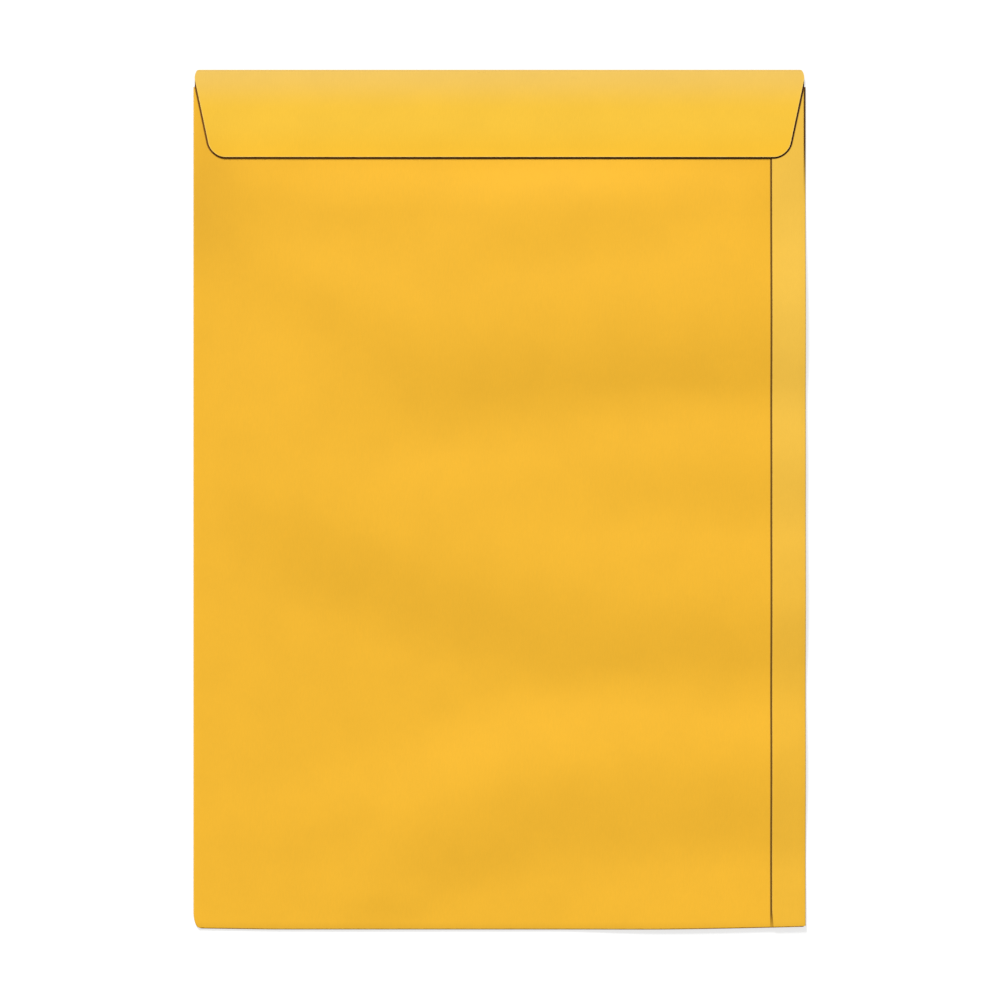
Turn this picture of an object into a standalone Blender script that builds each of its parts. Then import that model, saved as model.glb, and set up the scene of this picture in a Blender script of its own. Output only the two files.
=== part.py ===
"""Kraft pocket envelope for A4 sheets, folded from one die-cut blank of paper.

The blank is laid out flat around its front panel, bent over at its four creases, given the soft
ripples of handled paper, and thickened. It lies on its front panel at z = 0 with the flap side up:
+Y runs to the flap end and +X to the side with the seam, as seen from above. The origin is the
middle of the footprint, on the surface that the envelope lies on. All sizes are in metres.
"""

import math
from collections import namedtuple

import bmesh
import bpy

# Paper
PAPER = 0.00012
LAYER_GAP = 0.0002

# Closed envelope, measured over its folds
BODY_WIDTH = 0.230
BODY_HEIGHT = 0.323

# Top flap
FLAP_DEPTH = 0.0328
FLAP_SLANT = math.radians(12.0)
FLAP_CORNER_RADIUS = 0.0058
FLAP_LIP_LIFT = 0.0013

# Shoulders, where the sides of the pocket stop below the flap's fold
THROAT_DROP = 0.0065
SHOULDER_INSET = 0.0005
FOLD_NOTCH_WIDTH = 0.0021
FOLD_NOTCH_HEIGHT = 0.0036

# Side seam
SEAM_STRIP_WIDTH = 0.0126
STRIP_TAPER_WIDTH = 0.0005
STRIP_TAPER_LENGTH = 0.006
BACK_EDGE_CLEARANCE = 0.003

# Bottom flap, inside the pocket
BOTTOM_FLAP_DEPTH = 0.022
BOTTOM_FLAP_INSET = 0.0015
BOTTOM_FLAP_SLANT = math.radians(20)
SIDE_PANEL_SHORTFALL = 0.0004

# Corners of the closed envelope at its bottom edge
LEFT_CORNER_WIDTH = 0.0026
LEFT_CORNER_HEIGHT = 0.0064
LEFT_CORNER_BLEND = 0.012
LEFT_CORNER_RISE = 0.0004
LEFT_CORNER_LENGTH = 0.030
RIGHT_CORNER_RISE = 0.0011
RIGHT_CORNER_LENGTH = 0.060
CORNER_RISE_BLEND = 0.022

# Ripples: none at the left fold, and on the front panel none left of the first line across it
# and full ones right of the second
LEFT_FLAT_MARGIN = 0.012
FRONT_FLAT_TO = -0.030
FRONT_FULL_FROM = 0.020

# Mesh
CELL_ACROSS = 0.0095
CELL_ALONG = 0.0053
FOLD_SEGMENTS = 4
CORNER_SEGMENTS = 5

# Colour of the paper
KRAFT_COLOUR = (0.88, 0.49, 0.037, 1.0)
KRAFT_ROUGHNESS = 0.65

# A ripple is a low ridge that runs across the envelope and grows towards the seam side.
# crest: where its top line meets the seam side; above and below: how far it slopes each way;
# starts and full: where it rises out of the flat and where it has its full height;
# curl and curl_from: how fast its top line bends away from level, left of curl_from;
# fades and ends: where it starts to sink back and where it is gone, if not at the seam side.
Ripple = namedtuple(
    "Ripple",
    "height crest above below starts full curl curl_from fades ends",
    defaults=(0.0, 0.0, 1.0, 2.0),
)
RIPPLES = (
    Ripple(0.0011, 0.108, 0.024, 0.065, -0.105, -0.050, 0.0, 0.0, 0.090, 0.110),
    Ripple(0.0007, 0.109, 0.024, 0.022, -0.045, 0.005, -2.5, 0.045, 0.030, 0.080),
    Ripple(0.0026, 0.064, 0.050, 0.045, -0.120, -0.010, -0.3, 0.100),
    Ripple(0.0017, 0.018, 0.026, 0.032, -0.045, 0.090, -2.0, 0.030),
    Ripple(0.0025, -0.037, 0.066, 0.046, -0.125, -0.070, 1.4, 0.090),
    Ripple(0.0018, -0.099, 0.038, 0.040, -0.075, -0.005, -2.3, 0.065),
    Ripple(0.0008, -0.166, 0.038, 0.030, 0.020, 0.060),
)

FRONT_LAYER, BOTTOM_FLAP_LAYER, BACK_LAYER, STRIP_LAYER, FLAP_LAYER = range(5)


def layer_height(layer):
    """Height of the middle of the paper in a layer of the flat stack."""
    return PAPER / 2 + layer * (PAPER + LAYER_GAP)


class Crease:
    """A fold of the front panel that turns the paper over on to a higher layer."""

    def __init__(self, outer_edge, layer):
        self.radius = (layer_height(layer) - layer_height(FRONT_LAYER)) / 2
        self.start = outer_edge - self.radius - PAPER / 2
        self.length = math.pi * self.radius
        self.middle = self.start + self.length / 2
        self.end = self.start + self.length

    def turn(self, distance):
        """Reach and rise in the folded envelope of paper at a distance from the blank's centre."""
        past = distance - self.start
        if past <= 0:
            return distance, 0.0
        if past >= self.length:
            return self.start - (past - self.length), 2 * self.radius
        angle = past / self.radius
        return self.start + self.radius * math.sin(angle), self.radius * (1 - math.cos(angle))

    def unfold(self, reach):
        """Distance on the blank of turned paper that ends up at a reach from the centre."""
        return self.end + self.start - reach

    def lines(self):
        """Grid lines on the blank across the bend, without its first and last."""
        step = self.length / FOLD_SEGMENTS
        return [self.start + step * i for i in range(1, FOLD_SEGMENTS)]


LEFT = Crease(BODY_WIDTH / 2, BACK_LAYER)
RIGHT = Crease(BODY_WIDTH / 2, STRIP_LAYER)
TOP = Crease(BODY_HEIGHT / 2, FLAP_LAYER)
BOTTOM = Crease(BODY_HEIGHT / 2, BOTTOM_FLAP_LAYER)

THROAT = BODY_HEIGHT / 2 - THROAT_DROP
SIDE_PANEL_FOOT = -BODY_HEIGHT / 2 + SIDE_PANEL_SHORTFALL
STRIP_EDGE = BODY_WIDTH / 2 - SEAM_STRIP_WIDTH
BACK_EDGE = BODY_WIDTH / 2 - BACK_EDGE_CLEARANCE
FLAP_EDGE = BODY_HEIGHT / 2 - FLAP_DEPTH
BOTTOM_FLAP_EDGE = BODY_HEIGHT / 2 - BOTTOM_FLAP_DEPTH


def evenly(start, end, cell):
    """Positions from start up to end, end left out, no further apart than a cell."""
    count = max(1, math.ceil(abs(end - start) / cell - 1e-9))
    return [start + (end - start) * i / count for i in range(count)]


def eased(start, end, value):
    """Smooth rise from 0 at start to 1 at end."""
    t = min(1.0, max(0.0, (value - start) / (end - start)))
    return t * t * (3 - 2 * t)


def rounding(distance, width, height):
    """Inset of an elliptical corner at a distance along the edge from its tip."""
    if distance >= height:
        return 0.0
    q = 1 - distance / height
    return width * (1 - math.sqrt(max(0.0, 1 - q * q)))


def columns():
    """Grid lines of the blank from left to right, as distances from its centre line."""
    overlap = (STRIP_EDGE + BACK_EDGE) / 2
    back = [STRIP_EDGE, overlap, BACK_EDGE]
    back = evenly(-LEFT.start, STRIP_EDGE, CELL_ACROSS) + back
    lines = [-LEFT.unfold(-x) for x in reversed(back[1:])] + [-LEFT.end]
    lines += [-u for u in reversed(LEFT.lines())]
    edge = LEFT_CORNER_WIDTH
    lines += [-LEFT.start, -LEFT.start + edge / 2, -LEFT.start + edge]
    lines += evenly(-LEFT.start + edge, STRIP_EDGE, CELL_ACROSS)[1:]
    lines += [STRIP_EDGE, overlap, BACK_EDGE, RIGHT.start] + RIGHT.lines() + [RIGHT.end]
    lines += [RIGHT.unfold(x) for x in (BACK_EDGE, overlap, STRIP_EDGE)]
    return lines


def flap_rows():
    """Grid lines of the top flap, from its fold to its free edge."""
    edge = TOP.unfold(FLAP_EDGE)
    notch = TOP.middle + FOLD_NOTCH_HEIGHT
    corner = edge - FLAP_CORNER_RADIUS
    lines = [TOP.end, (TOP.end + notch) / 2]
    lines += evenly(notch, corner, CELL_ALONG)
    for i in range(CORNER_SEGMENTS + 1):
        angle = math.pi / 2 * i / CORNER_SEGMENTS
        lines.append(corner + FLAP_CORNER_RADIUS * math.sin(angle))
    return lines


def rows():
    """Grid lines of the blank from its bottom flap to its top flap."""
    lines = evenly(-BOTTOM.unfold(BOTTOM_FLAP_EDGE), -BOTTOM.end, CELL_ALONG)
    lines += [-BOTTOM.end] + [-v for v in reversed(BOTTOM.lines())] + [-BOTTOM.start]
    lines += [SIDE_PANEL_FOOT + LEFT_CORNER_HEIGHT * share for share in (0, 0.1, 0.25)]
    lines += evenly(SIDE_PANEL_FOOT + LEFT_CORNER_HEIGHT / 2, THROAT, CELL_ALONG)
    notch = TOP.middle - FOLD_NOTCH_HEIGHT
    lines += [THROAT] + [notch, (notch + TOP.start) / 2, TOP.start] + TOP.lines()
    return lines + flap_rows()


def half_span(v, crease):
    """How far the middle of the blank reaches to the side whose crease is given."""
    if v < -BOTTOM.start:
        past = -BOTTOM.start - v
        inset = BOTTOM_FLAP_INSET * eased(0, BOTTOM.length, past)
        return crease.start - inset - past * math.tan(BOTTOM_FLAP_SLANT)
    if v <= THROAT:
        return crease.start
    span = BODY_WIDTH / 2 - SHOULDER_INSET
    span -= rounding(abs(v - TOP.middle), FOLD_NOTCH_WIDTH, FOLD_NOTCH_HEIGHT)
    if v > TOP.end:
        past_notch = max(0.0, v - TOP.middle - FOLD_NOTCH_HEIGHT)
        span -= past_notch * math.tan(FLAP_SLANT)
        to_edge = TOP.unfold(FLAP_EDGE) - v
        span -= rounding(to_edge, FLAP_CORNER_RADIUS, FLAP_CORNER_RADIUS)
    return span


def trim(u, v):
    """Draws the grid in to the blank's cut outline, along a row."""
    if u > RIGHT.end:
        taper = max(0.0, 1 - (v - SIDE_PANEL_FOOT) / STRIP_TAPER_LENGTH)
        strip = RIGHT.unfold(STRIP_EDGE) - RIGHT.end
        return RIGHT.end + (u - RIGHT.end) * (1 - STRIP_TAPER_WIDTH / strip * taper)
    crease = LEFT if u < 0 else RIGHT
    if abs(u) > crease.start:
        return u
    return u * half_span(v, crease) / crease.start


def flap_lift(past):
    """How far the flap stands off the pocket at a distance past its fold."""
    depth = TOP.unfold(FLAP_EDGE) - TOP.end
    return FLAP_LIP_LIFT * past / depth


def fold(u, v):
    """Place in the flat folded envelope of a point of the blank."""
    side, across, rise = (-1, *LEFT.turn(-u)) if u < 0 else (1, *RIGHT.turn(u))
    x, z = side * across, rise
    end, along, rise = (-1, *BOTTOM.turn(-v)) if v < 0 else (1, *TOP.turn(v))
    y, z = end * along, z + rise
    if v > TOP.end:
        z += flap_lift(v - TOP.end)
    return x, y, z + layer_height(FRONT_LAYER)


def soften_corners(x, y):
    """Draws the corners at the bottom edge in, for all layers alike."""
    height = max(0.0, y + BODY_HEIGHT / 2)
    from_left = x + BODY_WIDTH / 2
    from_right = BODY_WIDTH / 2 - x
    inset = rounding(height, LEFT_CORNER_WIDTH, LEFT_CORNER_HEIGHT)
    x += inset * max(0.0, 1 - from_left / LEFT_CORNER_BLEND)
    rise = LEFT_CORNER_RISE * max(0.0, 1 - from_left / LEFT_CORNER_LENGTH)
    rise += RIGHT_CORNER_RISE * max(0.0, 1 - from_right / RIGHT_CORNER_LENGTH) ** 1.5
    y += rise * max(0.0, 1 - height / CORNER_RISE_BLEND)
    return x, y


def ripple_height(x, y):
    """Height of the ripples above the flat at a place in the folded envelope."""
    height = 0.0
    for r in RIPPLES:
        crest = r.crest + r.curl * max(0.0, r.curl_from - x) ** 2
        above = y - crest
        share = above / r.above if above > 0 else -above / r.below
        if share < 1:
            growth = eased(r.starts, r.full, x) * (1 - eased(r.fades, r.ends, x))
            height += r.height * growth * (1 + math.cos(math.pi * share)) / 2
    left_fold = -BODY_WIDTH / 2
    return height * eased(left_fold, left_fold + LEFT_FLAT_MARGIN, x)


def place(u, v):
    """Place in the finished envelope of a point of the blank."""
    x, y, z = fold(trim(u, v), v)
    x, y = soften_corners(x, y)
    height = ripple_height(x, y)
    beneath = -LEFT.middle < u < RIGHT.start and v < TOP.middle
    if beneath:
        height *= eased(FRONT_FLAT_TO, FRONT_FULL_FROM, x)
    return x, y, z + height


def on_blank(u, v):
    """Whether the blank has paper at a point of the sheet that it is cut from."""
    if -LEFT.start < u < RIGHT.start:
        return True
    return SIDE_PANEL_FOOT < v < THROAT


def cut_blank(us, vs):
    """The flat blank as a unit grid, without the squares outside its outline."""
    across, along = len(us) - 1, len(vs) - 1
    sheet = bmesh.new()
    bmesh.ops.create_grid(sheet, x_segments=across, y_segments=along, size=0.5)
    offcuts = []
    for face in sheet.faces:
        centre = face.calc_center_median()
        i = math.floor((centre.x + 0.5) * across)
        j = math.floor((centre.y + 0.5) * along)
        if not on_blank((us[i] + us[i + 1]) / 2, (vs[j] + vs[j + 1]) / 2):
            offcuts.append(face)
    bmesh.ops.delete(sheet, geom=offcuts, context="FACES")
    return sheet


def folded_sheet():
    """The middle surface of the folded blank, as an open triangle mesh."""
    us, vs = columns(), rows()
    sheet = cut_blank(us, vs)
    for vert in sheet.verts:
        i = round((vert.co.x + 0.5) * (len(us) - 1))
        j = round((vert.co.y + 0.5) * (len(vs) - 1))
        vert.co = place(us[i], vs[j])
    bmesh.ops.triangulate(sheet, faces=sheet.faces)
    mesh = bpy.data.meshes.new("envelope")
    sheet.to_mesh(mesh)
    sheet.free()
    return mesh


def kraft_paper():
    """Golden kraft paper, matt with a faint machine-glazed sheen."""
    material = bpy.data.materials.new("kraft_paper")
    material.use_nodes = True
    shader = material.node_tree.nodes["Principled BSDF"]
    shader.inputs["Base Color"].default_value = KRAFT_COLOUR
    shader.inputs["Roughness"].default_value = KRAFT_ROUGHNESS
    shader.inputs["Metallic"].default_value = 0.0
    return material


def build_envelope(collection):
    """The envelope: the folded sheet with the thickness of its paper."""
    mesh = folded_sheet()
    mesh.materials.append(kraft_paper())
    envelope = bpy.data.objects.new("envelope", mesh)
    collection.objects.link(envelope)
    paper = envelope.modifiers.new("paper", "SOLIDIFY")
    paper.thickness = PAPER
    paper.offset = 0.0
    paper.use_even_offset = True
    return envelope


def main():
    for old in list(bpy.data.objects):
        bpy.data.objects.remove(old, do_unlink=True)
    collection = bpy.data.collections.new("kraft_envelope")
    bpy.context.scene.collection.children.link(collection)
    build_envelope(collection)


main()
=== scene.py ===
import math
from collections import namedtuple

import bmesh
import bpy
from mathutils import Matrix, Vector, noise


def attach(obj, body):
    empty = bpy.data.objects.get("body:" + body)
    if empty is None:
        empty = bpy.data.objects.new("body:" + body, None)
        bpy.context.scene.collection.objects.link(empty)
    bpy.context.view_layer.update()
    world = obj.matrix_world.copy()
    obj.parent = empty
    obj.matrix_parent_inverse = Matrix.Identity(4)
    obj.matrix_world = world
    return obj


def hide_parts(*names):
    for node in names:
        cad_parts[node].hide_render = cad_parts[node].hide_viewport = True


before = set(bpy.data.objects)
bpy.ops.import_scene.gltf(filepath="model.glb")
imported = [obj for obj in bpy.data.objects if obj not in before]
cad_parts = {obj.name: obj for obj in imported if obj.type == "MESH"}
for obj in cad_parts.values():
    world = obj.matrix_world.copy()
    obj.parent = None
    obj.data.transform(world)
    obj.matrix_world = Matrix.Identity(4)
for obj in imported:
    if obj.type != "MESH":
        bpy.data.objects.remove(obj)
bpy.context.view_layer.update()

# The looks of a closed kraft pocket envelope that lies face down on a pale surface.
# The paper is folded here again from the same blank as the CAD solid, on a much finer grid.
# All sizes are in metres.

# Paper
PAPER = 0.00012
LAYER_GAP = 0.0002

# Closed envelope, measured over its folds
BODY_WIDTH = 0.230
BODY_HEIGHT = 0.323

# Top flap
FLAP_DEPTH = 0.0328
FLAP_SLANT = math.radians(12.0)
FLAP_CORNER_RADIUS = 0.0052
FLAP_LIP_LIFT = 0.0001

# Shoulders, where the sides of the pocket stop below the flap's fold
THROAT_DROP = 0.0065
SHOULDER_INSET = 0.0005
FOLD_NOTCH_WIDTH = 0.0021
FOLD_NOTCH_HEIGHT = 0.0036

# Side seam
SEAM_STRIP_WIDTH = 0.0126
STRIP_TAPER_WIDTH = 0.0005
STRIP_TAPER_LENGTH = 0.006
BACK_EDGE_CLEARANCE = 0.003

# Bottom flap, inside the pocket
BOTTOM_FLAP_DEPTH = 0.022
BOTTOM_FLAP_INSET = 0.0015
BOTTOM_FLAP_SLANT = math.radians(20)
SIDE_PANEL_SHORTFALL = 0.0004

# Corners of the closed envelope at its bottom edge
LEFT_CORNER_WIDTH = 0.0026
LEFT_CORNER_HEIGHT = 0.0064
LEFT_CORNER_BLEND = 0.012
LEFT_CORNER_RISE = 0.0004
LEFT_CORNER_LENGTH = 0.030
RIGHT_CORNER_RISE = 0.0011
RIGHT_CORNER_LENGTH = 0.060
RIGHT_CORNER_CURVE = 1.5
CORNER_RISE_BLEND = 0.022

# Ripples. Each has a height and a crest at a place along y, which curls away to the left of
# curl_from. Its slopes reach above and below the crest. Across the envelope it starts and is
# full at two places, and where it fades it ends at the last one.
LEFT_FLAT_MARGIN = 0.012
FRONT_FLAT_TO = -0.030
FRONT_FULL_FROM = 0.020
Ripple = namedtuple(
    "Ripple",
    "height crest above below starts full curl curl_from fades ends",
    defaults=(0.0, 0.0, 1.0, 2.0),
)
RIPPLES = (
    Ripple(0.0011, 0.108, 0.024, 0.065, -0.105, -0.050, 0.0, 0.0, 0.090, 0.110),
    Ripple(0.0007, 0.109, 0.024, 0.022, -0.045, 0.005, -2.5, 0.045, 0.030, 0.080),
    Ripple(0.0026, 0.064, 0.050, 0.045, -0.120, -0.010, -0.3, 0.100),
    Ripple(0.0017, 0.018, 0.026, 0.032, -0.045, 0.090, -2.0, 0.030),
    Ripple(0.0025, -0.037, 0.066, 0.046, -0.125, -0.070, 1.4, 0.090),
    Ripple(0.0018, -0.099, 0.038, 0.040, -0.075, -0.005, -2.3, 0.065),
    Ripple(0.0008, -0.166, 0.038, 0.030, 0.020, 0.060),
)
# Slight cockling of the paper, on top of the ripples: all over, and in a few soft ridges,
# each with its middle, its half length and half width, and its turn from level
COCKLE_HEIGHT = 0.00006
COCKLE_SIZE = 0.022
Cockle = namedtuple("Cockle", "height x y length width turn")
COCKLES = (
    Cockle(0.0007, -0.067, 0.081, 0.030, 0.014, math.radians(-28)),
    Cockle(0.0006, -0.093, 0.119, 0.016, 0.015, 0.0),
    Cockle(0.0004, -0.065, -0.118, 0.030, 0.014, math.radians(6)),
    Cockle(0.0002, -0.044, -0.149, 0.020, 0.007, 0.0),
)

# Mesh: its cells, and how many times finer they are at the corners, notches and throat
CELL_ACROSS = 0.0032
CELL_ALONG = 0.0020
CORNER_FINER = 4
NOTCH_FINER = 5
THROAT_FINER = 2
FOLD_SEGMENTS = 10
CORNER_SEGMENTS = 12
ROUND_OFF = 1e-9

# Camera: straight above, with the photograph's frame at the height of the paper
IMAGE_PIXELS = 1000
PIXELS_PER_METRE = 2661
LENS_MM = 200
SENSOR_MM = 36
ENVELOPE_CENTRE_PIXEL = (499.5, 499.7)

FRONT_LAYER, BOTTOM_FLAP_LAYER, BACK_LAYER, STRIP_LAYER, FLAP_LAYER = range(5)


def layer_height(layer):
    """Height of the middle of the paper in a layer of the flat stack."""
    return PAPER / 2 + layer * (PAPER + LAYER_GAP)


class Crease:
    """A fold of the front panel that turns the paper over on to a higher layer."""

    def __init__(self, outer_edge, layer):
        self.radius = (layer_height(layer) - layer_height(FRONT_LAYER)) / 2
        self.start = outer_edge - self.radius - PAPER / 2
        self.length = math.pi * self.radius
        self.middle = self.start + self.length / 2
        self.end = self.start + self.length

    def turn(self, distance):
        """Reach and rise in the folded envelope of paper at a distance from the blank's centre."""
        past = distance - self.start
        if past <= 0:
            return distance, 0.0
        if past >= self.length:
            return self.start - (past - self.length), 2 * self.radius
        angle = past / self.radius
        return self.start + self.radius * math.sin(angle), self.radius * (1 - math.cos(angle))

    def unfold(self, reach):
        """Distance on the blank of turned paper that ends up at a reach from the centre."""
        return self.end + self.start - reach

    def lines(self):
        """Grid lines on the blank across the bend, without its first and last."""
        step = self.length / FOLD_SEGMENTS
        return [self.start + step * i for i in range(1, FOLD_SEGMENTS)]


LEFT = Crease(BODY_WIDTH / 2, BACK_LAYER)
RIGHT = Crease(BODY_WIDTH / 2, STRIP_LAYER)
TOP = Crease(BODY_HEIGHT / 2, FLAP_LAYER)
BOTTOM = Crease(BODY_HEIGHT / 2, BOTTOM_FLAP_LAYER)

THROAT = BODY_HEIGHT / 2 - THROAT_DROP
SIDE_PANEL_FOOT = -BODY_HEIGHT / 2 + SIDE_PANEL_SHORTFALL
STRIP_EDGE = BODY_WIDTH / 2 - SEAM_STRIP_WIDTH
BACK_EDGE = BODY_WIDTH / 2 - BACK_EDGE_CLEARANCE
FLAP_EDGE = BODY_HEIGHT / 2 - FLAP_DEPTH
BOTTOM_FLAP_EDGE = BODY_HEIGHT / 2 - BOTTOM_FLAP_DEPTH


def evenly(start, end, cell):
    """Positions from start up to end, end left out, no further apart than a cell."""
    count = max(1, math.ceil(abs(end - start) / cell - ROUND_OFF))
    return [start + (end - start) * i / count for i in range(count)]


def eased(start, end, value):
    """Smooth rise from 0 at start to 1 at end."""
    t = min(1.0, max(0.0, (value - start) / (end - start)))
    return t * t * (3 - 2 * t)


def rounding(distance, width, height):
    """Inset of an elliptical corner at a distance along the edge from its tip."""
    if distance >= height:
        return 0.0
    q = 1 - distance / height
    return width * (1 - math.sqrt(max(0.0, 1 - q * q)))


def columns():
    """Grid lines of the blank from left to right, as distances from its centre line."""
    overlap = (STRIP_EDGE + BACK_EDGE) / 2
    back = [STRIP_EDGE, overlap, BACK_EDGE]
    back = evenly(-LEFT.start, STRIP_EDGE, CELL_ACROSS) + back
    lines = [-LEFT.unfold(-x) for x in reversed(back[1:])] + [-LEFT.end]
    lines += [-u for u in reversed(LEFT.lines())]
    lines += evenly(-LEFT.start, -LEFT.start + LEFT_CORNER_WIDTH, CELL_ACROSS / CORNER_FINER)
    lines += evenly(-LEFT.start + LEFT_CORNER_WIDTH, STRIP_EDGE, CELL_ACROSS)
    lines += [STRIP_EDGE, overlap, BACK_EDGE, RIGHT.start] + RIGHT.lines() + [RIGHT.end]
    lines += evenly(RIGHT.unfold(BACK_EDGE), RIGHT.unfold(STRIP_EDGE), CELL_ACROSS)
    return lines + [RIGHT.unfold(STRIP_EDGE)]


def flap_rows():
    """Grid lines of the top flap, from its fold to its free edge."""
    edge = TOP.unfold(FLAP_EDGE)
    notch = TOP.middle + FOLD_NOTCH_HEIGHT
    corner = edge - FLAP_CORNER_RADIUS
    lines = evenly(TOP.end, notch, CELL_ALONG / NOTCH_FINER)
    lines += evenly(notch, corner, CELL_ALONG)
    for i in range(CORNER_SEGMENTS + 1):
        angle = math.pi / 2 * i / CORNER_SEGMENTS
        lines.append(corner + FLAP_CORNER_RADIUS * math.sin(angle))
    return lines


def rows():
    """Grid lines of the blank from its bottom flap to its top flap."""
    lines = evenly(-BOTTOM.unfold(BOTTOM_FLAP_EDGE), -BOTTOM.end, CELL_ALONG)
    lines += [-BOTTOM.end] + [-v for v in reversed(BOTTOM.lines())] + [-BOTTOM.start]
    corner = SIDE_PANEL_FOOT + LEFT_CORNER_HEIGHT
    lines += evenly(SIDE_PANEL_FOOT, corner, CELL_ALONG / CORNER_FINER)
    lines += evenly(corner, THROAT, CELL_ALONG)
    notch = TOP.middle - FOLD_NOTCH_HEIGHT
    lines += evenly(THROAT, notch, CELL_ALONG / THROAT_FINER)
    lines += evenly(notch, TOP.start, CELL_ALONG / NOTCH_FINER) + [TOP.start] + TOP.lines()
    return lines + flap_rows()


def half_span(v, crease):
    """How far the middle of the blank reaches to the side whose crease is given."""
    if v < -BOTTOM.start:
        past = -BOTTOM.start - v
        inset = BOTTOM_FLAP_INSET * eased(0, BOTTOM.length, past)
        return crease.start - inset - past * math.tan(BOTTOM_FLAP_SLANT)
    if v <= THROAT:
        return crease.start
    span = BODY_WIDTH / 2 - SHOULDER_INSET
    span -= rounding(abs(v - TOP.middle), FOLD_NOTCH_WIDTH, FOLD_NOTCH_HEIGHT)
    if v > TOP.end:
        past_notch = max(0.0, v - TOP.middle - FOLD_NOTCH_HEIGHT)
        span -= past_notch * math.tan(FLAP_SLANT)
        to_edge = TOP.unfold(FLAP_EDGE) - v
        span -= rounding(to_edge, FLAP_CORNER_RADIUS, FLAP_CORNER_RADIUS)
    return span


def trim(u, v):
    """Draws the grid in to the blank's cut outline, along a row."""
    if u > RIGHT.end:
        taper = max(0.0, 1 - (v - SIDE_PANEL_FOOT) / STRIP_TAPER_LENGTH)
        strip = RIGHT.unfold(STRIP_EDGE) - RIGHT.end
        return RIGHT.end + (u - RIGHT.end) * (1 - STRIP_TAPER_WIDTH / strip * taper)
    crease = LEFT if u < 0 else RIGHT
    if abs(u) > crease.start:
        return u
    return u * half_span(v, crease) / crease.start


def flap_lift(past):
    """How far the flap stands off the pocket at a distance past its fold."""
    depth = TOP.unfold(FLAP_EDGE) - TOP.end
    return FLAP_LIP_LIFT * past / depth


def fold(u, v):
    """Place in the flat folded envelope of a point of the blank."""
    side, across, rise = (-1, *LEFT.turn(-u)) if u < 0 else (1, *RIGHT.turn(u))
    x, z = side * across, rise
    end, along, rise = (-1, *BOTTOM.turn(-v)) if v < 0 else (1, *TOP.turn(v))
    y, z = end * along, z + rise
    if v > TOP.end:
        z += flap_lift(v - TOP.end)
    return x, y, z + layer_height(FRONT_LAYER)


def soften_corners(x, y):
    """Draws the corners at the bottom edge in, for all layers alike."""
    height = max(0.0, y + BODY_HEIGHT / 2)
    from_left = x + BODY_WIDTH / 2
    from_right = BODY_WIDTH / 2 - x
    inset = rounding(height, LEFT_CORNER_WIDTH, LEFT_CORNER_HEIGHT)
    x += inset * max(0.0, 1 - from_left / LEFT_CORNER_BLEND)
    rise = LEFT_CORNER_RISE * max(0.0, 1 - from_left / LEFT_CORNER_LENGTH)
    near_right = max(0.0, 1 - from_right / RIGHT_CORNER_LENGTH)
    rise += RIGHT_CORNER_RISE * near_right ** RIGHT_CORNER_CURVE
    y += rise * max(0.0, 1 - height / CORNER_RISE_BLEND)
    return x, y


def cockle_height(x, y):
    """Height of the slight cockling above the ripples."""
    height = COCKLE_HEIGHT * (1 + noise.noise(Vector((x, y, 0)) / COCKLE_SIZE))
    for c in COCKLES:
        along = (x - c.x) * math.cos(c.turn) + (y - c.y) * math.sin(c.turn)
        across = (y - c.y) * math.cos(c.turn) - (x - c.x) * math.sin(c.turn)
        height += c.height * math.exp(-(along / c.length) ** 2 - (across / c.width) ** 2)
    return height


def ripple_height(x, y):
    """Height of the ripples above the flat at a place in the folded envelope."""
    height = cockle_height(x, y)
    for r in RIPPLES:
        crest = r.crest + r.curl * max(0.0, r.curl_from - x) ** 2
        above = y - crest
        share = above / r.above if above > 0 else -above / r.below
        if share < 1:
            growth = eased(r.starts, r.full, x) * (1 - eased(r.fades, r.ends, x))
            height += r.height * growth * (1 + math.cos(math.pi * share)) / 2
    left_fold = -BODY_WIDTH / 2
    return height * eased(left_fold, left_fold + LEFT_FLAT_MARGIN, x)


def place(u, v):
    """Place in the finished envelope of a point of the blank."""
    x, y, z = fold(trim(u, v), v)
    x, y = soften_corners(x, y)
    height = ripple_height(x, y)
    beneath = -LEFT.middle < u < RIGHT.start and v < TOP.middle
    if beneath:
        height *= eased(FRONT_FLAT_TO, FRONT_FULL_FROM, x)
    return x, y, z + height


def on_blank(u, v):
    """Whether the blank has paper at a point of the sheet that it is cut from."""
    if -LEFT.start < u < RIGHT.start:
        return True
    return SIDE_PANEL_FOOT < v < THROAT


def cut_blank(us, vs):
    """The flat blank as a unit grid, without the squares outside its outline."""
    across, along = len(us) - 1, len(vs) - 1
    sheet = bmesh.new()
    bmesh.ops.create_grid(sheet, x_segments=across, y_segments=along, size=0.5)
    offcuts = []
    for face in sheet.faces:
        centre = face.calc_center_median()
        i = math.floor((centre.x + 0.5) * across)
        j = math.floor((centre.y + 0.5) * along)
        if not on_blank((us[i] + us[i + 1]) / 2, (vs[j] + vs[j + 1]) / 2):
            offcuts.append(face)
    bmesh.ops.delete(sheet, geom=offcuts, context="FACES")
    return sheet


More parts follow.
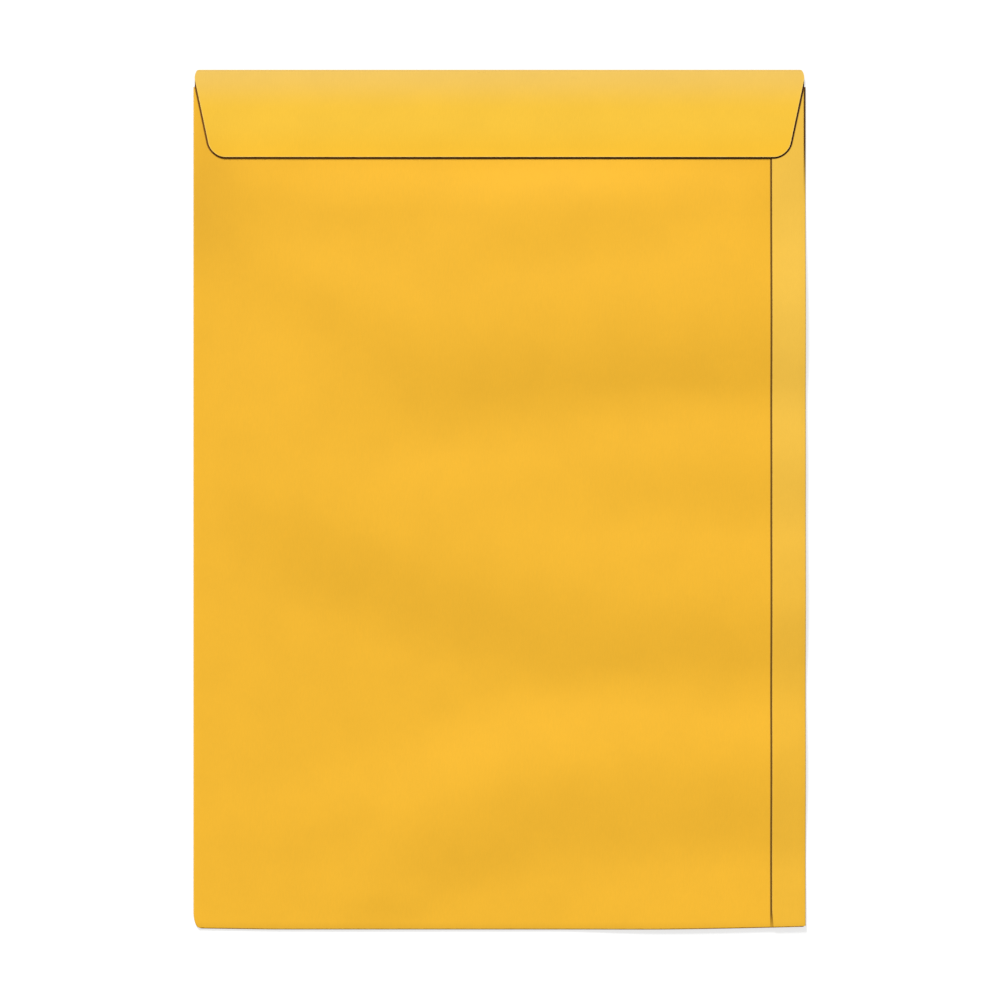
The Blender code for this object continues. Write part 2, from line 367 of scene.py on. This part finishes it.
def folded_sheet():
    """The middle surface of the folded blank, with the areas that its finish tells apart."""
    us, vs = columns(), rows()
    sheet = cut_blank(us, vs)
    pocket = sheet.verts.layers.float.new("pocket_back")
    strip = sheet.verts.layers.float.new("seam_strip")
    flap = sheet.verts.layers.float.new("top_flap")
    for vert in sheet.verts:
        u = us[round((vert.co.x + 0.5) * (len(us) - 1))]
        v = vs[round((vert.co.y + 0.5) * (len(vs) - 1))]
        vert.co = place(u, v)
        vert[pocket] = float(u < -LEFT.middle)
        vert[strip] = float(u > RIGHT.middle)
        vert[flap] = float(v > TOP.middle)
    for face in sheet.faces:
        face.smooth = True
    mesh = bpy.data.meshes.new("envelope_paper")
    sheet.to_mesh(mesh)
    sheet.free()
    return mesh


# Colours of the paper, as Blender takes them. The strip, lip, flap and fold golds are lit copies of
# the kraft: painted sheen.
KRAFT = (0.875, 0.463, 0.023, 1.0)
STRIP_SHEEN_KRAFT = (0.850, 0.466, 0.030, 1.0)
BRIGHT_STRIP_SHEEN_KRAFT = (0.865, 0.513, 0.056, 1.0)
LIT_LIP_KRAFT = (0.930, 0.520, 0.024, 1.0)
LIT_FLAP_KRAFT = (0.925, 0.545, 0.037, 1.0)
FOLD_SHEEN_KRAFT = (0.885, 0.560, 0.105, 1.0)
# Wear and painted highlight: the pale of the cut edges and folds
WORN_HIGHLIGHT_KRAFT = (0.930, 0.640, 0.160, 1.0)
# Painted shadow: the browns of the shadow lines and of the side gap's shadow
SHADOW_LINE_BROWN = (0.048, 0.011, 0.0005, 1.0)
PALE_SHADOW_LINE_BROWN = (0.170, 0.056, 0.001, 1.0)

# Where they lie
# Painted sheen: where it rises on the strip, and how far the lit lip and the fold's sheen reach
STRIP_SHEEN_FROM = -0.100
STRIP_SHEEN_TO = 0.080
LIT_LIP_DEPTH = 0.014
FOLD_SHEEN_DEPTH = 0.016
# Painted shadow lines: their width, their strength at the seam, and where they darken towards the
# right
SHADOW_LINE_SOLID = 0.00055
SHADOW_LINE_FADED = 0.00095
SEAM_SHADOW_LINE_STRENGTH = 0.86
SEAM_SHADOW_LINE_FADES_OVER = 0.007
SEAM_SHADOW_LINE_FOOT_STRENGTH = 0.35
SHADOW_LINES_DARK_FROM = 0.069
UPWARD_FULL = 0.2
# Wear and painted highlight along the cut edges and the folds
WORN_HIGHLIGHT_WIDTH = 0.00045
FOLD_WORN_HIGHLIGHT_WIDTH = 0.0007
FLAP_WEAR_HIGHLIGHT = 0.8
STRIP_WEAR_HIGHLIGHT = 0.35
SIDE_FOLD_WEAR_HIGHLIGHT = 0.35

# Painted shade and light: painted shade on the spot beside the flap's left corner and on the folds
# at the top and the bottom, and painted light on the strip below the flap
SHADE_SPOT_MIDDLE = (-0.113, 0.113)
SHADE_SPOT_REACH = (0.028, 0.045)
SHADE_SPOT_DARKENING = 0.09
TOP_FOLD_SHADE = 0.70
FOOT_SHADE = 0.90
FOOT_SHADE_DEPTH = 0.0035
BELOW_FLAP_LIGHT = 1.04
BELOW_FLAP_LIGHT_FROM = 0.003
BELOW_FLAP_LIGHT_TO = 0.016
BELOW_FLAP_LIGHT_FULL_ACROSS = 0.060
BELOW_FLAP_LIGHT_ENDS_ACROSS = 0.110

# Painted shadow of a gap along the fold of the seam side, below the throat
GAP_SHADOW_WIDTH = 0.0007
GAP_SHADOW_SOFTNESS = 0.0001
GAP_SHADOW_STRENGTH = 0.95
GAP_SHADOW_FROM = 0.110
GAP_SHADOW_FULL = 0.135

# Grain of the paper: how fine each noise is, and the values that it runs between
NOISE_FROM = 0.3
NOISE_TO = 0.7
FIBRE_SCALE = 2600
FIBRE_STRETCH = 0.16
FIBRE_DETAIL = (4.0, 0.6)
FIBRE_TONES = (0.985, 1.015)
CLOUD_SCALE = 55
CLOUD_DETAIL = (3.0, 0.55)
CLOUD_TONES = (0.988, 1.012)
RUBBED_SCALE = 380
RUBBED_FROM = 0.35
RUBBED_TO = 0.6
RUBBED_LEAST = 0.6
ROUGHNESS = (0.58, 0.68)
SPECULAR = 0.25
BUMP_STRENGTH = 0.25
BUMP_HEIGHT = 0.00003


class Wiring:
    """Short calls that add nodes to a material and join them up."""

    def __init__(self, material):
        material.use_nodes = True
        self.tree = material.node_tree
        self.shader = self.tree.nodes["Principled BSDF"]

    def node(self, kind, inputs=(), **settings):
        made = self.tree.nodes.new(kind)
        for name, value in settings.items():
            setattr(made, name, value)
        for name, value in dict(inputs).items():
            self.feed(value, made.inputs[name])
        return made

    def feed(self, value, socket):
        if isinstance(value, bpy.types.NodeSocket):
            self.tree.links.new(value, socket)
        else:
            socket.default_value = value

    def math(self, operation, *values):
        made = self.node("ShaderNodeMath", enumerate(values), operation=operation)
        return made.outputs[0]

    def step(self, value, low, high, to_low=0.0, to_high=1.0):
        inputs = {0: value, 1: low, 2: high, 3: to_low, 4: to_high}
        kind = "ShaderNodeMapRange"
        return self.node(kind, inputs, interpolation_type="SMOOTHSTEP").outputs[0]

    def mix(self, share, first, second):
        made = self.node("ShaderNodeMix", data_type="RGBA")
        # Inputs 6 and 7 and output 2 are the node's colour sockets
        self.feed(share, made.inputs[0])
        self.feed(first, made.inputs[6])
        self.feed(second, made.inputs[7])
        return made.outputs[2]

    def attribute(self, name):
        return self.node("ShaderNodeAttribute", attribute_name=name).outputs["Fac"]

    def texture(self, place, scale, detail=2.0, roughness=0.5):
        inputs = {"Vector": place, "Scale": scale, "Detail": detail, "Roughness": roughness}
        return self.node("ShaderNodeTexNoise", inputs).outputs["Fac"]


def flap_distance(wire, x, y):
    """Distance of a place on the envelope outside the closed flap's cut outline."""
    slant_from = TOP.start + TOP.length / 2 - FOLD_NOTCH_HEIGHT
    radius = FLAP_CORNER_RADIUS
    widest = BODY_WIDTH / 2 - SHOULDER_INSET - radius
    past = wire.math("MAXIMUM", wire.math("SUBTRACT", slant_from, y), 0)
    span = wire.math("SUBTRACT", widest, wire.math("MULTIPLY", past, math.tan(FLAP_SLANT)))
    side = wire.math("SUBTRACT", wire.math("ABSOLUTE", x), span)
    below = wire.math("SUBTRACT", FLAP_EDGE + radius, y)
    beside = wire.math("POWER", wire.math("MAXIMUM", side, 0), 2)
    beneath = wire.math("POWER", wire.math("MAXIMUM", below, 0), 2)
    outside = wire.math("SQRT", wire.math("ADD", beside, beneath))
    inside = wire.math("MINIMUM", wire.math("MAXIMUM", side, below), 0)
    return wire.math("SUBTRACT", wire.math("ADD", outside, inside), radius)


def tints_with_painted_sheen(wire, y, strip, flap):
    """The gold of the panel, with painted sheen on the seam strip and the flap: the strip lighter
    upwards, the flap lighter at its lip and palest near its fold.
    """
    # Painted sheen: lit, paler copies of the kraft on the strip and the flap
    strip_sheen_rise = wire.step(y, STRIP_SHEEN_FROM, STRIP_SHEEN_TO)
    strip_sheen_kraft = wire.mix(strip_sheen_rise, STRIP_SHEEN_KRAFT, BRIGHT_STRIP_SHEEN_KRAFT)
    above_lip = wire.step(y, FLAP_EDGE, FLAP_EDGE + LIT_LIP_DEPTH)
    lit_flap_kraft = wire.mix(above_lip, LIT_LIP_KRAFT, LIT_FLAP_KRAFT)
    top = BODY_HEIGHT / 2
    near_fold = wire.step(y, top - FOLD_SHEEN_DEPTH, top)
    lit_flap_kraft = wire.mix(near_fold, lit_flap_kraft, FOLD_SHEEN_KRAFT)
    return wire.mix(flap, wire.mix(strip, KRAFT, strip_sheen_kraft), lit_flap_kraft)


def worn_and_highlit_edges(wire, place, x, y, from_flap, strip, flap):
    """Strength of the pale wear and painted highlight along the cut edges and along the bottom and
    side folds.
    """
    # Painted highlight as well as wear: the cut edges and folds are paler, and the bottom fold is
    # lightened against its shade
    flap_edge = wire.step(from_flap, -WORN_HIGHLIGHT_WIDTH, 0, 0.0, FLAP_WEAR_HIGHLIGHT)
    flap_edge = wire.math("MULTIPLY", flap, flap_edge)
    strip_edge = wire.step(x, STRIP_EDGE, STRIP_EDGE + WORN_HIGHLIGHT_WIDTH, STRIP_WEAR_HIGHLIGHT, 0.0)
    strip_edge = wire.math("MULTIPLY", strip, strip_edge)
    cut = wire.math("MAXIMUM", flap_edge, strip_edge)
    foot = -BODY_HEIGHT / 2
    bottom_fold = wire.step(y, foot, foot + FOLD_WORN_HIGHLIGHT_WIDTH, 1.0, 0.0)
    side = BODY_WIDTH / 2
    from_middle = wire.math("ABSOLUTE", x)
    side_folds = wire.step(from_middle, side - FOLD_WORN_HIGHLIGHT_WIDTH, side, 0.0, SIDE_FOLD_WEAR_HIGHLIGHT)
    folds = wire.math("MAXIMUM", bottom_fold, side_folds)
    rubbed = wire.texture(place, RUBBED_SCALE)
    rubbed = wire.step(rubbed, RUBBED_FROM, RUBBED_TO, RUBBED_LEAST, 1.0)
    return wire.math("MULTIPLY", wire.math("MAXIMUM", cut, folds), rubbed)


def painted_shadow_lines(wire, x, y, from_flap, pocket, strip, flap, upward):
    """Strength of the painted shadow lines beside the flap and the seam strip, and of the painted
    shadow in the side gap.
    """
    # Painted shadow: dark brown on the paper beside the flap's edge and the strip's edge, and on
    # the side fold below the throat
    beside_flap = wire.step(from_flap, SHADOW_LINE_SOLID, SHADOW_LINE_FADED, 1.0, 0.0)
    flap_shadow_line = wire.math("MULTIPLY", beside_flap, wire.math("SUBTRACT", 1, flap))
    from_strip = wire.math("SUBTRACT", STRIP_EDGE, x)
    beside_strip = wire.step(from_strip, SHADOW_LINE_SOLID, SHADOW_LINE_FADED, SEAM_SHADOW_LINE_STRENGTH, 0.0)
    foot = -BODY_HEIGHT / 2
    fading = wire.step(y, foot, foot + SEAM_SHADOW_LINE_FADES_OVER, SEAM_SHADOW_LINE_FOOT_STRENGTH, 1.0)
    seam_shadow_line = wire.math("MULTIPLY", wire.math("MULTIPLY", pocket, beside_strip), fading)
    gap_shadow_edge = BODY_WIDTH / 2 - GAP_SHADOW_WIDTH
    in_gap_shadow = wire.step(x, gap_shadow_edge - GAP_SHADOW_SOFTNESS, gap_shadow_edge, 0.0, GAP_SHADOW_STRENGTH)
    opening = wire.step(y, GAP_SHADOW_FROM, GAP_SHADOW_FULL)
    gap = wire.math("MULTIPLY", wire.math("MULTIPLY", in_gap_shadow, strip), opening)
    lines = wire.math("MAXIMUM", gap, wire.math("MAXIMUM", flap_shadow_line, seam_shadow_line))
    return wire.math("MULTIPLY", lines, upward)


def shadow_line_colour(wire, x):
    """Brown of the painted shadow lines, paler towards the left of the envelope."""
    to_right = wire.step(x, -BODY_WIDTH / 2, SHADOW_LINES_DARK_FROM)
    return wire.mix(to_right, PALE_SHADOW_LINE_BROWN, SHADOW_LINE_BROWN)


def painted_shade_spot(wire, x, y):
    """How much darker the painted shade spot beside the flap's lower corner is."""
    across = wire.math("DIVIDE", wire.math("SUBTRACT", x, SHADE_SPOT_MIDDLE[0]), SHADE_SPOT_REACH[0])
    along = wire.math("DIVIDE", wire.math("SUBTRACT", y, SHADE_SPOT_MIDDLE[1]), SHADE_SPOT_REACH[1])
    spread = wire.math("ADD", wire.math("POWER", across, 2), wire.math("POWER", along, 2))
    return wire.step(wire.math("SQRT", spread), 0, 1, SHADE_SPOT_DARKENING, 0.0)


def painted_shade_and_light(wire, x, y, from_flap, flap, upward):
    """Painted shade and light: shade on the spot, the foot and the top fold, and light below the
    flap.
    """
    # Painted shade: the spot, the foot and the top fold's bend are darkened
    spot = wire.math("MULTIPLY", painted_shade_spot(wire, x, y), upward)
    foot = -BODY_HEIGHT / 2
    tone = wire.step(y, foot, foot + FOOT_SHADE_DEPTH, FOOT_SHADE, 1.0)
    tone = wire.math("MULTIPLY", tone, wire.math("SUBTRACT", 1, spot))
    bend = wire.step(y, TOP.start - PAPER, TOP.start + 2 * PAPER, 1.0, TOP_FOLD_SHADE)
    tone = wire.math("MULTIPLY", tone, bend)
    # Painted light: the paper just below the flap is lightened
    below_flap_light = wire.step(from_flap, BELOW_FLAP_LIGHT_FROM, BELOW_FLAP_LIGHT_TO, BELOW_FLAP_LIGHT, 1.0)
    from_middle = wire.math("ABSOLUTE", x)
    middle = wire.step(from_middle, BELOW_FLAP_LIGHT_FULL_ACROSS, BELOW_FLAP_LIGHT_ENDS_ACROSS, 1.0, 0.0)
    raised = wire.math("MULTIPLY", wire.math("SUBTRACT", below_flap_light, 1), middle)
    raised = wire.math("MULTIPLY", raised, wire.math("SUBTRACT", 1, flap))
    raised = wire.math("MULTIPLY", raised, upward)
    return wire.math("MULTIPLY", tone, wire.math("ADD", raised, 1))


def kraft_paper():
    """Golden kraft: fibres, cloudy formation, painted sheen on the strip and flap, painted shade
    and light, wear with painted highlight on the edges, and painted shadow lines beside the laid-on
    edges.
    """
    material = bpy.data.materials.new("kraft_paper_finish")
    wire = Wiring(material)
    coordinates = wire.node("ShaderNodeTexCoord")
    place = coordinates.outputs["Object"]
    x, y = wire.node("ShaderNodeSeparateXYZ", {0: place}).outputs[:2]
    facing = wire.node("ShaderNodeSeparateXYZ", {0: coordinates.outputs["Normal"]})
    upward = wire.step(facing.outputs[2], 0.0, UPWARD_FULL)
    strip = wire.attribute("seam_strip")
    flap = wire.attribute("top_flap")
    pocket = wire.attribute("pocket_back")
    from_flap = flap_distance(wire, x, y)

    stretch = {"Vector": place, "Scale": (1.0, FIBRE_STRETCH, 1.0)}
    along_fibres = wire.node("ShaderNodeMapping", stretch).outputs[0]
    fibres = wire.texture(along_fibres, FIBRE_SCALE, *FIBRE_DETAIL)
    clouds = wire.texture(place, CLOUD_SCALE, *CLOUD_DETAIL)
    # Kraft with painted sheen on the strip and the flap
    paper = tints_with_painted_sheen(wire, y, strip, flap)
    cloud_tone = wire.step(clouds, NOISE_FROM, NOISE_TO, *CLOUD_TONES)
    fibre_tone = wire.step(fibres, NOISE_FROM, NOISE_TO, *FIBRE_TONES)
    tone = wire.math("MULTIPLY", cloud_tone, fibre_tone)
    # Painted shade and light on the spot, the folds and below the flap
    tone = wire.math("MULTIPLY", tone, painted_shade_and_light(wire, x, y, from_flap, flap, upward))
    toned = {0: paper, "Scale": tone}
    paper = wire.node("ShaderNodeVectorMath", toned, operation="SCALE").outputs[0]
    # Wear and painted highlight on the cut edges and folds
    worn_highlight = worn_and_highlit_edges(wire, place, x, y, from_flap, strip, flap)
    paper = wire.mix(worn_highlight, paper, WORN_HIGHLIGHT_KRAFT)
    # Painted shadow lines beside the flap, the seam strip and the side fold
    lines = painted_shadow_lines(wire, x, y, from_flap, pocket, strip, flap, upward)
    paper = wire.mix(lines, paper, shadow_line_colour(wire, x))

    wire.feed(paper, wire.shader.inputs["Base Color"])
    roughness = wire.step(clouds, NOISE_FROM, NOISE_TO, *ROUGHNESS)
    wire.feed(roughness, wire.shader.inputs["Roughness"])
    wire.shader.inputs["Specular IOR Level"].default_value = SPECULAR
    relief = {"Strength": BUMP_STRENGTH, "Distance": BUMP_HEIGHT, "Height": fibres}
    bump = wire.node("ShaderNodeBump", relief)
    wire.feed(bump.outputs[0], wire.shader.inputs["Normal"])
    return material


CUT_EDGE_ANGLE = math.radians(40)


def thickened(sheet):
    """The folded sheet with the thickness of its paper, smooth but crisp at its cut edges."""
    holder = bpy.data.objects.new("sheet", sheet)
    bpy.context.scene.collection.objects.link(holder)
    solid = holder.modifiers.new("thickness", "SOLIDIFY")
    solid.thickness = PAPER
    solid.offset = 0.0
    solid.use_even_offset = True
    depsgraph = bpy.context.evaluated_depsgraph_get()
    shaped = holder.evaluated_get(depsgraph)
    mesh = bpy.data.meshes.new_from_object(
        shaped, preserve_all_data_layers=True, depsgraph=depsgraph
    )
    bpy.data.objects.remove(holder, do_unlink=True)
    mesh.name = "envelope_paper"
    mesh.set_sharp_from_angle(angle=CUT_EDGE_ANGLE)
    return mesh


def build_paper():
    """The folded paper with its thickness, in place of the CAD solid."""
    mesh = thickened(folded_sheet())
    mesh.materials.append(kraft_paper())
    paper = bpy.data.objects.new("envelope_paper", mesh)
    bpy.context.scene.collection.objects.link(paper)
    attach(paper, "root")
    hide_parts("envelope")


WHITE = (1.0, 1.0, 1.0, 1.0)
FLOOR_SIZE = 6.0
FLOOR_COLOUR = (0.42, 0.42, 0.42, 1.0)
FLOOR_ROUGHNESS = 0.9
FLOOR_DROP = 0.0001
CAMERA_WHITE = 0.66


def build_floor():
    """A pale floor that the camera sees as near white, and that keeps shadows."""
    bpy.ops.mesh.primitive_plane_add(size=FLOOR_SIZE, location=(0, 0, -FLOOR_DROP))
    floor = bpy.context.object
    floor.name = "floor"
    material = bpy.data.materials.new("floor_white")
    wire = Wiring(material)
    wire.shader.inputs["Base Color"].default_value = FLOOR_COLOUR
    wire.shader.inputs["Roughness"].default_value = FLOOR_ROUGHNESS
    wire.shader.inputs["Specular IOR Level"].default_value = 0.0
    seen = wire.node("ShaderNodeLightPath").outputs["Is Camera Ray"]
    wire.shader.inputs["Emission Color"].default_value = WHITE
    wire.feed(wire.math("MULTIPLY", seen, CAMERA_WHITE), wire.shader.inputs["Emission Strength"])
    floor.data.materials.append(material)


def aimed(data, position, target=(0.0, 0.0, 0.0)):
    """An object for a lamp or camera at a position, looking at a target."""
    holder = bpy.data.objects.new(data.name, data)
    bpy.context.scene.collection.objects.link(holder)
    holder.location = position
    look = Vector(target) - Vector(position)
    holder.rotation_euler = look.to_track_quat("-Z", "Y").to_euler()
    return holder


KEY_DIRECTION = (-0.22, 0.80, 0.56)
KEY_STRENGTH = 3.4
KEY_SPREAD = math.radians(14)
WORLD_LIGHT = 0.42
WORLD_SEEN = 1.0


def build_light():
    """A soft lamp beyond the flap end, and even light from all round."""
    key = bpy.data.lights.new("key", "SUN")
    key.energy = KEY_STRENGTH
    key.angle = KEY_SPREAD
    aimed(key, KEY_DIRECTION)
    world = bpy.data.worlds.new("studio")
    world.use_nodes = True
    tree = world.node_tree
    background = tree.nodes["Background"]
    background.inputs["Color"].default_value = WHITE
    seen = tree.nodes.new("ShaderNodeLightPath").outputs["Is Camera Ray"]
    level = tree.nodes.new("ShaderNodeMapRange")
    tree.links.new(seen, level.inputs["Value"])
    level.inputs["To Min"].default_value = WORLD_LIGHT
    level.inputs["To Max"].default_value = WORLD_SEEN
    tree.links.new(level.outputs[0], background.inputs["Strength"])
    bpy.context.scene.world = world


def build_camera():
    """Straight above the envelope, with the flap end at the top of the picture."""
    camera = bpy.data.cameras.new("camera")
    camera.lens = LENS_MM
    camera.sensor_width = SENSOR_MM
    shown = IMAGE_PIXELS / PIXELS_PER_METRE
    height = shown * LENS_MM / SENSOR_MM
    right = (IMAGE_PIXELS / 2 - ENVELOPE_CENTRE_PIXEL[0]) / PIXELS_PER_METRE
    down = (IMAGE_PIXELS / 2 - ENVELOPE_CENTRE_PIXEL[1]) / PIXELS_PER_METRE
    holder = bpy.data.objects.new("camera", camera)
    holder.location = (right, -down, height)
    bpy.context.scene.collection.objects.link(holder)
    bpy.context.scene.camera = holder


build_paper()
build_floor()
build_light()
build_camera()
bpy.context.scene.view_settings.view_transform = "Standard"
